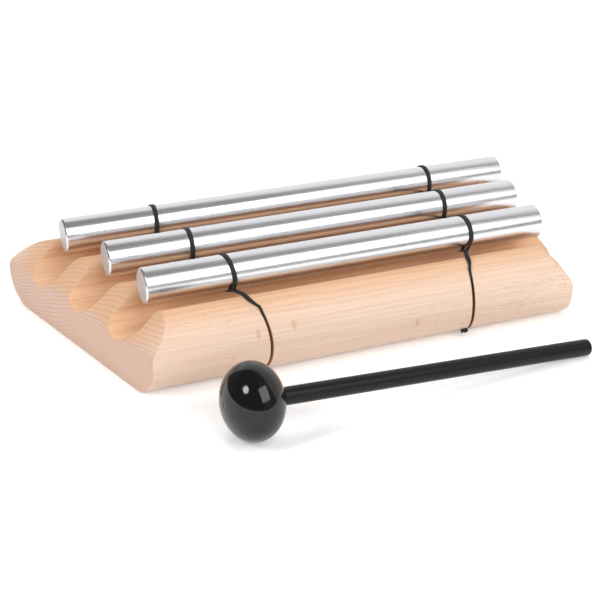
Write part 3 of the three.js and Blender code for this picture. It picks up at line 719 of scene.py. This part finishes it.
def elastic_cords():
    """Both cords, stretch by stretch: loops, leads, the two halves of each bridge, kerf strand and knot.

    A lead narrows from the flat band to the bunched cord over the last half of its way, and a bridge half is
    a straight line from its loop's pinch to just past the bridge's middle.
    """
    material = elastic_material()
    flat_half = BAND_WIDTH / 2
    for side, sign in SIDE_SIGN.items():
        for bar, y in BAR_Y.items():
            loop = loop_band(f"{side}_{bar}_band", LOOP_X[side][bar], y, material)
            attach(loop, f"{bar}_sling")
            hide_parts(f"{side}_{bar}_loop")
        for bar, way in (("front", -1), ("rear", 1)):
            path, normal, t = lead_path(side, bar, way)
            wide = flat_half + (BUNCHED_HALF - flat_half) * smooth((t - NARROW_FROM) / NARROW_OVER)
            thick = np.full(len(t), BUNCHED_HALF)
            lead = cord_run(f"{side}_{bar}_tie", path, normal, wide, thick, material)
            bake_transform(lead)
            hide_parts(f"{side}_{bar}_lead")
        for first, second, node in (("front", "middle", "front_bridge"), ("middle", "rear", "rear_bridge")):
            reach = PINCH_REACH - LOOP_OVERLAP
            near = np.array([LOOP_X[side][first][3], BAR_Y[first] + reach, PINCH_Z])
            far = np.array([LOOP_X[side][second][0], BAR_Y[second] - reach, PINCH_Z])
            middle = (near + far) / 2
            for bar, pinch, way, word in ((first, near, 1, "near"), (second, far, -1, "far")):
                t = np.linspace(0, 1, 30)
                path = pinch + (middle + np.array([0, BRIDGE_OVERLAP * way, 0]) - pinch) * t[:, None]
                normal = np.tile([0.0, 0.0, 1.0], (len(t), 1))
                half = cord_run(f"{side}_{node}_{word}", path, normal, np.full(len(t), flat_half),
                                np.full(len(t), BUNCHED_HALF), material)
                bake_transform(half)
                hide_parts(f"{side}_{node}")
        path, on_edge = strand_path(side)
        square = np.tile([1.0, -sign * KERF_SKEW, 0.0], (len(path), 1))
        strand = cord_run(f"{side}_kerf_cord", path, square, BUNCHED_HALF + EDGE_WIDER * on_edge,
                          BUNCHED_HALF - EDGE_THINNER * on_edge, material)
        knot = round_cord(f"{side}_tied_knot", *knot_path(side, 200), KNOT_STRAND, material)
        for piece, node in ((strand, "kerf_strand"), (knot, "knot")):
            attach(piece, "block")
            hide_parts(f"{side}_{node}")


elastic_cords()


# Bars

def turned(name, profile, origin, axis, sides, material, sharp=35.0, **fields):
    """A profile of distance along the axis and radius, carried once round the axis."""
    # Any direction that isn't along the axis starts the ring
    first = unit(np.cross(axis, [0.0, 0.31, 0.95]))
    second = np.cross(axis, first)
    turn = np.linspace(0, 2 * np.pi, sides, endpoint=False)
    ring = np.cos(turn)[:, None] * first + np.sin(turn)[:, None] * second
    points = origin + profile[:, None, :1] * axis + profile[:, None, 1:] * ring[None]
    repeated = {field: np.repeat(values, sides) for field, values in fields.items()}
    return put(name, points.reshape(-1, 3), grid_faces(len(profile), sides, False, True), material,
               sharp=sharp, **repeated)


def bar_profile(length):
    """Half outline of a bar: slightly dished end, eased chamfer, straight side, and the same mirrored.

    The dish is a parabola, and an arc that touches both lines eases each of the chamfer's corners. The
    straight side's points start 0.8 mm in, just past the chamfer.
    """
    half = length / 2
    flat = BAR_RADIUS - BAR_CHAMFER
    radii = np.linspace(0, flat - BAR_EASE, 14)
    face = np.stack([half - BAR_DISH * (1 - (radii / flat) ** 2), radii], 1)
    ease = arc((half - BAR_EASE, flat - BAR_EASE_TOUCH), BAR_EASE, 0, 45, 4)
    edge = arc((half - BAR_CHAMFER - BAR_EASE_TOUCH, BAR_RADIUS - BAR_EASE), BAR_EASE, 45, 90, 4)
    along = np.linspace(half - 0.8, 0.0, 8)
    side = np.stack([along, np.full(len(along), BAR_RADIUS)], 1)
    right = np.concatenate([face, ease, edge, side])
    left = right[-2::-1] * np.array([-1.0, 1.0])
    return np.concatenate([right, left])


def bars():
    """Each bar's profile carried round its axis, with the radius kept for the turning marks on its ends."""
    material = aluminium_material()
    axis = np.array([1.0, 0.0, 0.0])
    for bar, length in BAR_LENGTHS.items():
        profile = bar_profile(length)
        origin = np.array([0.0, BAR_Y[bar], BAR_Z])
        rod = turned(f"{bar}_chime_bar", profile, origin, axis, 128, material, sharp=30.0,
                     face_radius=profile[:, 1])
        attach(rod, f"{bar}_chime")
        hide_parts(f"{bar}_bar")


bars()


# Mallet

def mallet():
    """The head, a flattened ball carried round the handle's axis with a socket, and the handle, a rod in it.

    The ball's profile is an ellipse up to the socket's mouth, and a quarter circle rounds the rod's far end.
    """
    axis = np.array([np.cos(MALLET_SLOPE) * np.cos(MALLET_YAW), np.cos(MALLET_SLOPE) * np.sin(MALLET_YAW),
                     -np.sin(MALLET_SLOPE)])
    last = np.arccos(SOCKET_MOUTH / HEAD_RADIUS)
    turn = np.linspace(-np.pi / 2, last, 72)
    shell = np.stack([HEAD_HALF * np.sin(turn), HEAD_RADIUS * np.cos(turn)], 1)
    mouth = HEAD_HALF * np.sin(last)
    # The socket's mouth is eased in two steps
    socket = np.array([[mouth - 0.05, 3.2], [mouth - 0.2, SOCKET_RADIUS],
                       [mouth - SOCKET_DEPTH, SOCKET_RADIUS], [mouth - SOCKET_DEPTH, 0.0]])
    head = turned("mallet_ball", np.concatenate([shell, socket]), MALLET_CENTRE, axis, 96, head_material())
    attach(head, "mallet")
    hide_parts("mallet_head")
    start = mouth - HANDLE_SEAT
    # Along the rod the rings start and end 0.2 mm from its edges
    straight = HANDLE_REACH - HANDLE_END_ROUND
    along = np.linspace(start + 0.2, straight - 0.2, 40)
    end = arc((straight, HANDLE_RADIUS - HANDLE_END_ROUND), HANDLE_END_ROUND, 90, 0, 10)
    rod = np.concatenate([[[start, 0.0], [start, HANDLE_RADIUS]],
                          np.stack([along, np.full(len(along), HANDLE_RADIUS)], 1),
                          end, [[HANDLE_REACH, 0.0]]])
    handle = turned("mallet_rod", rod, MALLET_CENTRE, axis, 64, handle_material())
    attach(handle, "mallet")
    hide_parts("mallet_handle")


mallet()


# Block

def end_x(y, z):
    """Place of the end along the bars: upright and skewed below, a round crease, then a 45 degree bevel."""
    rise = np.clip(z - CREASE_START, 0, CREASE_RISE)
    below = END_DISTANCE - CREASE_RADIUS + np.sqrt(CREASE_RADIUS ** 2 - rise ** 2)
    bevel = END_DISTANCE - (z - BEVEL_FOOT)
    distance = np.where(z > CREASE_START + CREASE_RISE, bevel, below)
    return (distance + y * np.sin(END_SKEW)) / np.cos(END_SKEW)


def foot_z(y):
    """Height of the underside: flat in the middle, then a quarter circle up to the side line."""
    t = np.clip(np.abs(y) - FOOT_Y, 0, FOOT_ROUND)
    return SIDE_LINE - np.sqrt(FOOT_ROUND ** 2 - t * t)


def lip_arc():
    """Round lip between the outer groove's upright side and the shoulder.

    Its circle's centre lies one lip radius out from the groove's side, and one lip radius in from the
    shoulder's ellipse, square to it. The arc runs from where it touches the ellipse to the groove's side.
    """
    turn = np.linspace(np.pi / 2, np.pi / 6, 2000)
    facing = unit(np.stack([np.cos(turn) / SHOULDER_REACH, np.sin(turn) / SHOULDER_RISE], 1))
    centre_y = SHOULDER_Y + SHOULDER_REACH * np.cos(turn) - LIP * facing[:, 0]
    centre_z = SIDE_LINE + SHOULDER_RISE * np.sin(turn) - LIP * facing[:, 1]
    middle = BAR_PITCH + GROOVE_RADIUS + LIP
    touch = np.interp(middle, centre_y, np.degrees(np.arctan2(facing[:, 1], facing[:, 0])))
    return arc((middle, np.interp(middle, centre_y, centre_z)), LIP, touch, 180, 14)


def block_columns():
    """Upright columns across the block, in seven fields from front to back: shoulder, groove, ridge and on.

    Each field gives its distances y and the height of the top there: a quarter ellipse and a round lip, a
    half circle, and a flat between two quarter circles.
    """
    lip = lip_arc()
    sweep = np.linspace(0, np.arccos((lip[0, 0] - SHOULDER_Y) / SHOULDER_REACH), 34)
    shoulder = np.stack([SHOULDER_Y + SHOULDER_REACH * np.cos(sweep),
                         SIDE_LINE + SHOULDER_RISE * np.sin(sweep)], 1)
    rear_shoulder = np.concatenate([shoulder[:-1], lip])[::-1]
    groove = arc((0.0, GROOVE_AXIS_Z), GROOVE_RADIUS, -180, 0, 41)
    near = GROOVE_RADIUS + RIDGE_ROUND
    far = BAR_PITCH - near
    left = arc((near, BLOCK_TOP - RIDGE_ROUND), RIDGE_ROUND, 180, 90, 14)
    flat = np.stack([np.linspace(near, far, 8)[1:-1], np.full(6, BLOCK_TOP)], 1)
    right = arc((far, BLOCK_TOP - RIDGE_ROUND), RIDGE_ROUND, 90, 0, 14)
    ridge = np.concatenate([left, flat, right])
    turned_over = np.array([-1.0, 1.0])
    pitch = np.array([BAR_PITCH, 0.0])
    return [(rear_shoulder * turned_over)[::-1], groove - pitch, (ridge * turned_over)[::-1], groove, ridge,
            groove + pitch, rear_shoulder]


def column_rows(low, high):
    """Heights up a column: close together near its ends, where the arris rounds, and level ones between.

    The level ones are even up the upright end, and closer round the crease and at the grooves' axis. They
    are held within the column's own ends.
    """
    ease = ARRIS * np.array([0.0, 0.076, 0.293, 0.617, 1.0])
    seam = GROOVE_AXIS_Z - ease[::-1]
    levels = np.unique(np.concatenate([np.linspace(0.6, 13.0, 9), np.linspace(13.6, 17.7, 7),
                                       np.linspace(18.4, 21.2, 4), seam, np.linspace(22.9, 27.0, 5)]))
    middle = (low + high)[:, None] / 2
    below = np.minimum(low[:, None] + ease, middle)
    above = np.maximum(high[:, None] - ease[::-1], middle)
    between = np.clip(levels[None, :], np.minimum(low[:, None] + ARRIS, middle),
                      np.maximum(high[:, None] - ARRIS, middle))
    return np.concatenate([below, between, above], 1)


def groove_wall(column, y):
    """Points up a groove's upright side, at the heights of the column beside it."""
    heights = column[column > GROOVE_AXIS_Z - 1e-9]
    return np.stack([np.full(len(heights), y), heights], 1)


def block_outline(fields, rows):
    """Closed cross-section of the block: the underside to the back, then the grooved top to the front."""
    bottom = np.concatenate([np.stack([field[:, 0], foot_z(field[:, 0])], 1) for field in fields])
    top = []
    for k, (field, row) in enumerate(zip(fields, rows)):
        is_groove = k % 2 == 1
        if k > 0 and not is_groove:
            top.append(groove_wall(row[0], field[0, 0]))
        top.append(field)
        if k < len(fields) - 1 and not is_groove:
            top.append(groove_wall(row[-1], field[-1, 0])[::-1])
    outline = np.concatenate([bottom, np.concatenate(top)[::-1]])
    return outline[np.linalg.norm(outline - np.roll(outline, 1, 0), axis=1) > 1e-6]


def distance_to(outline, y, z):
    """Least distance from points to the closed outline's straight pieces."""
    run = np.roll(outline, -1, 0) - outline
    size = np.maximum((run * run).sum(1), 1e-12)
    offset = np.stack([y, z], 1)[:, None] - outline
    share = np.clip((offset * run).sum(2) / size, 0, 1)
    return np.linalg.norm(offset - share[..., None] * run, axis=2).min(1)


def kerf_core(outline):
    """Where the kerf's floor lies under each point of the outline; the point itself where there is no kerf.

    Round the foot and under the block it lies the kerf's depth inside the outline, and up the shoulder it
    runs out along a quarter ellipse to the kerf's start.
    """
    y = np.abs(outline[:, 0])
    z = outline[:, 1]
    under = z <= SIDE_LINE + 1e-6
    angle = np.arctan2(SIDE_LINE - z, np.maximum(y - FOOT_Y, 0))
    reach = FOOT_ROUND - KERF_DEPTH
    low_y = np.where(y > FOOT_Y, FOOT_Y + reach * np.cos(angle), y)
    low_z = SIDE_LINE - np.where(y > FOOT_Y, reach * np.sin(angle), reach)
    limit = np.arccos((KERF_START_Y - SHOULDER_Y) / SHOULDER_REACH)
    turn = np.arcsin(np.clip((z - SIDE_LINE) / SHOULDER_RISE, 0, 1)) / limit * np.pi / 2
    cut = (y >= KERF_START_Y) & ~under
    rise = shoulder_z(KERF_START_Y) - SIDE_LINE
    core_y = np.where(under, low_y, np.where(cut, KERF_START_Y + KERF_RUNOUT * np.cos(turn), y))
    core_z = np.where(under, low_z, np.where(cut, SIDE_LINE + rise * np.sin(turn), z))
    return np.stack([np.sign(outline[:, 0]) * core_y, core_z], 1)


def block_rings(outline):
    """Rings along the bars from left to right, each with its places x, its line and its depth in a kerf.

    The outer ones are the ends set in by the arris. A kerf has four: its edge, its floor twice and its other
    edge. Three more lie evenly between the kerfs.
    """
    core = kerf_core(outline)
    sunk = np.linalg.norm(core - outline, axis=1)
    flush = np.zeros(len(outline))
    half = KERF_WIDTH / 2 * np.sqrt(1 + KERF_SKEW ** 2)
    end = end_x(outline[:, 0], outline[:, 1]) - ARRIS
    left, right = [[(kerf_x(side, line[:, 0]) + shift, line, depth)
                    for shift, line, depth in ((-half, outline, flush), (-half, core, sunk),
                                               (half, core, sunk), (half, outline, flush))]
                   for side in SIDE_SIGN]
    inner = kerf_x("right", outline[:, 0]) - half
    between = [(share * inner, outline, flush) for share in (-0.5, 0.0, 0.5)]
    return [(-end, outline, flush), *left, *between, *right, (end, outline, flush)]


def block():
    """Sides: the outline carried along the bars, dipping to the kerf's floor between the kerf's edges.

    Ends: upright columns over the cross-section, set back near the outline by a quarter round.
    """
    fields = block_columns()
    rows = [column_rows(foot_z(field[:, 0]), field[:, 1]) for field in fields]
    outline = block_outline(fields, rows)
    rings = block_rings(outline)
    points = [np.column_stack([x, line]) for x, line, _ in rings]
    faces = [grid_faces(len(rings), len(outline), False, True)]
    depths = [depth for _, _, depth in rings]
    count = len(rings) * len(outline)
    for sign in SIDE_SIGN.values():
        for field, row in zip(fields, rows):
            y = np.repeat(field[:, 0], row.shape[1])
            z = row.reshape(-1)
            near = np.clip(1 - distance_to(outline, y, z) / ARRIS, 0, 1)
            x = end_x(y, z) - ARRIS * (1 - np.sqrt(1 - near ** 2))
            points.append(np.column_stack([sign * x, y, z]))
            quads = grid_faces(*row.shape)
            faces.append(count + (quads if sign < 0 else quads[:, ::-1]))
            depths.append(np.zeros(len(x)))
            count += len(x)
    made = put("beech_body", np.concatenate(points), np.concatenate(faces), beech_material(), sharp=40.0,
               kerf_depth=np.concatenate(depths))
    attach(made, "block")
    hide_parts("beech_block")


block()


# Floor, studio and lights

def shown_share(tree):
    """One for rays of the camera, in reflections and through clear pieces, and nought for others."""
    path = add(tree, "ShaderNodeLightPath", {})
    seen = add(tree, "ShaderNodeMath", {0: path.outputs["Is Camera Ray"], 1: path.outputs["Is Glossy Ray"]},
               operation="MAXIMUM")
    shown = add(tree, "ShaderNodeMath", {0: seen.outputs[0], 1: path.outputs["Is Transmission Ray"]},
                operation="MAXIMUM")
    return shown.outputs[0]


# White paper: a wide flat table, white to the camera and in reflections, that keeps the object's shadow
def floor():
    """A square of four corners."""
    material, tree = blank_material("white_table")
    # Away from the object, where the lamps fall off, the table is kept as white as near it
    place = add(tree, "ShaderNodeTexCoord", {}).outputs["Object"]
    away = add(tree, "ShaderNodeVectorMath", {0: place}, operation="LENGTH")
    evened = add(tree, "ShaderNodeMapRange",
                 {"Value": away.outputs["Value"], "From Min": 0.12, "From Max": 0.9, "To Min": 0.26,
                  "To Max": 0.95}, interpolation_type="SMOOTHSTEP")
    lift = add(tree, "ShaderNodeMath", {0: shown_share(tree), 1: evened.outputs[0]}, operation="MULTIPLY")
    paper = add(tree, "ShaderNodeBsdfDiffuse", {"Color": linear("#F8F8F8")})
    glow = add(tree, "ShaderNodeEmission", {"Color": WHITE, "Strength": lift.outputs[0]})
    both = add(tree, "ShaderNodeAddShader", {0: paper.outputs[0], 1: glow.outputs[0]})
    add(tree, "ShaderNodeOutputMaterial", {0: both.outputs[0]})
    mesh = bpy.data.meshes.new("table")
    corners = TABLE_HALF * np.array([[-1, -1, 0], [1, -1, 0], [1, 1, 0], [-1, 1, 0]])
    mesh.from_pydata(corners.tolist(), [], [(0, 1, 2, 3)])
    mesh.materials.append(material)
    table = bpy.data.objects.new("table", mesh)
    bpy.context.scene.collection.objects.link(table)


# Glowing hood that only reflections see: its dim glow is a painted reflection of the studio round the object,
# which gives the bars and the head their dark bands
def hood():
    """A round arch from the back over the top down to the front.

    Its profile is a circle's arc carried sideways, its two sides reach the floor, and its opening faces back
    right, closed at its right by an upright panel.
    """
    material, tree = blank_material("reflection_only_glow")
    place = add(tree, "ShaderNodeSeparateXYZ", {0: add(tree, "ShaderNodeTexCoord", {}).outputs["Object"]})
    # The hood's painted glow is brighter towards the right, over about a metre, and much brighter in its
    # right rear part
    level = add(tree, "ShaderNodeMapRange",
                {"Value": place.outputs["X"], "From Min": -0.3, "From Max": 0.9, "To Min": 0.18,
                 "To Max": 0.31})
    right_rear = add(tree, "ShaderNodeMath", {0: place.outputs["X"], 1: 1.2, 2: place.outputs["Y"]},
                     operation="MULTIPLY_ADD")
    gleam = add(tree, "ShaderNodeMapRange",
                {"Value": right_rear.outputs[0], "From Min": 1.45, "From Max": 1.95, "To Max": 0.6},
                interpolation_type="SMOOTHSTEP")
    total = add(tree, "ShaderNodeMath", {0: level.outputs[0], 1: gleam.outputs[0]}, operation="ADD")
    hood_glow = add(tree, "ShaderNodeEmission", {"Color": WHITE, "Strength": total.outputs[0]})
    add(tree, "ShaderNodeOutputMaterial", {0: hood_glow.outputs[0]})
    turn = np.radians(np.linspace(HOOD_BACK, HOOD_FRONT, HOOD_STEPS))
    sides = np.array([-HOOD_REACH, HOOD_REACH])
    arch_y = -HOOD_REACH * np.sin(turn)
    arch_z = HOOD_REACH * np.cos(turn)
    # Points of both arches, then the feet of both sides, then the panel's free edge
    x = np.concatenate([np.repeat(sides, HOOD_STEPS), np.repeat(sides, 2), [HOOD_PANEL, HOOD_PANEL]])
    y = np.concatenate([np.tile(arch_y, 2), np.tile(arch_y[[-1, 0]], 2), arch_y[[0, 0]]])
    z = np.concatenate([np.tile(arch_z, 2), np.zeros(4), [0.0, arch_z[0]]])
    points = np.stack([x * np.cos(HOOD_SWING) - y * np.sin(HOOD_SWING),
                       x * np.sin(HOOD_SWING) + y * np.cos(HOOD_SWING), z], 1)
    left = range(HOOD_STEPS)
    right = range(HOOD_STEPS, 2 * HOOD_STEPS)
    foot = 2 * HOOD_STEPS
    walls = [[*left, foot, foot + 1], [*right, foot + 2, foot + 3],
             [right[0], foot + 3, foot + 4, foot + 5]]
    mesh = bpy.data.meshes.new("hood")
    mesh.from_pydata(points.tolist(), [], grid_faces(2, HOOD_STEPS).tolist() + walls)
    mesh.materials.append(material)
    arch = bpy.data.objects.new("hood", mesh)
    arch.visible_camera = False
    arch.visible_diffuse = False
    arch.visible_shadow = False
    bpy.context.scene.collection.objects.link(arch)


def lamp(name, azimuth, elevation, distance, width, height, radiance, shape="RECTANGLE", reflected=True):
    """An area lamp that faces the object; its power is radiance times pi times its area."""
    back = direction_of(azimuth, elevation)
    data = bpy.data.lights.new(name, "AREA")
    data.shape = shape
    data.size = width
    data.size_y = height
    area = width * height * (np.pi / 4 if shape == "ELLIPSE" else 1.0)
    data.energy = radiance * np.pi * area
    made = bpy.data.objects.new(name, data)
    made.visible_glossy = reflected
    turn = back.to_track_quat("Z", "Y").to_matrix().to_4x4()
    made.matrix_world = Matrix.Translation(back * distance) @ turn
    bpy.context.scene.collection.objects.link(made)


def studio():
    """A white table under a dim hood, two lamps that show in reflections, two fills that don't, and a sky.

    The sky is white where it shows, and lights the object at about a quarter of that.
    """
    floor()
    hood()
    lamp("softbox", azimuth=16.0, elevation=42.0, distance=1.5, width=1.0, height=1.05, radiance=3.0)
    lamp("round_lamp", azimuth=-79.0, elevation=40.0, distance=1.3, width=0.42, height=0.42, radiance=12.0,
         shape="ELLIPSE")
    lamp("front_fill", azimuth=10.0, elevation=31.0, distance=1.6, width=3.0, height=0.45, radiance=2.05,
         reflected=False)
    lamp("back_fill", azimuth=170.0, elevation=56.0, distance=2.0, width=1.2, height=0.9, radiance=3.9,
         reflected=False)
    world = bpy.data.worlds.new("pale_studio")
    bpy.context.scene.world = world
    world.use_nodes = True
    tree = world.node_tree
    tree.nodes.clear()
    level = add(tree, "ShaderNodeMapRange", {"Value": shown_share(tree), "To Min": 0.24, "To Max": 1.0})
    sky = add(tree, "ShaderNodeBackground", {"Color": WHITE, "Strength": level.outputs[0]})
    add(tree, "ShaderNodeOutputWorld", {0: sky.outputs[0]})


studio()
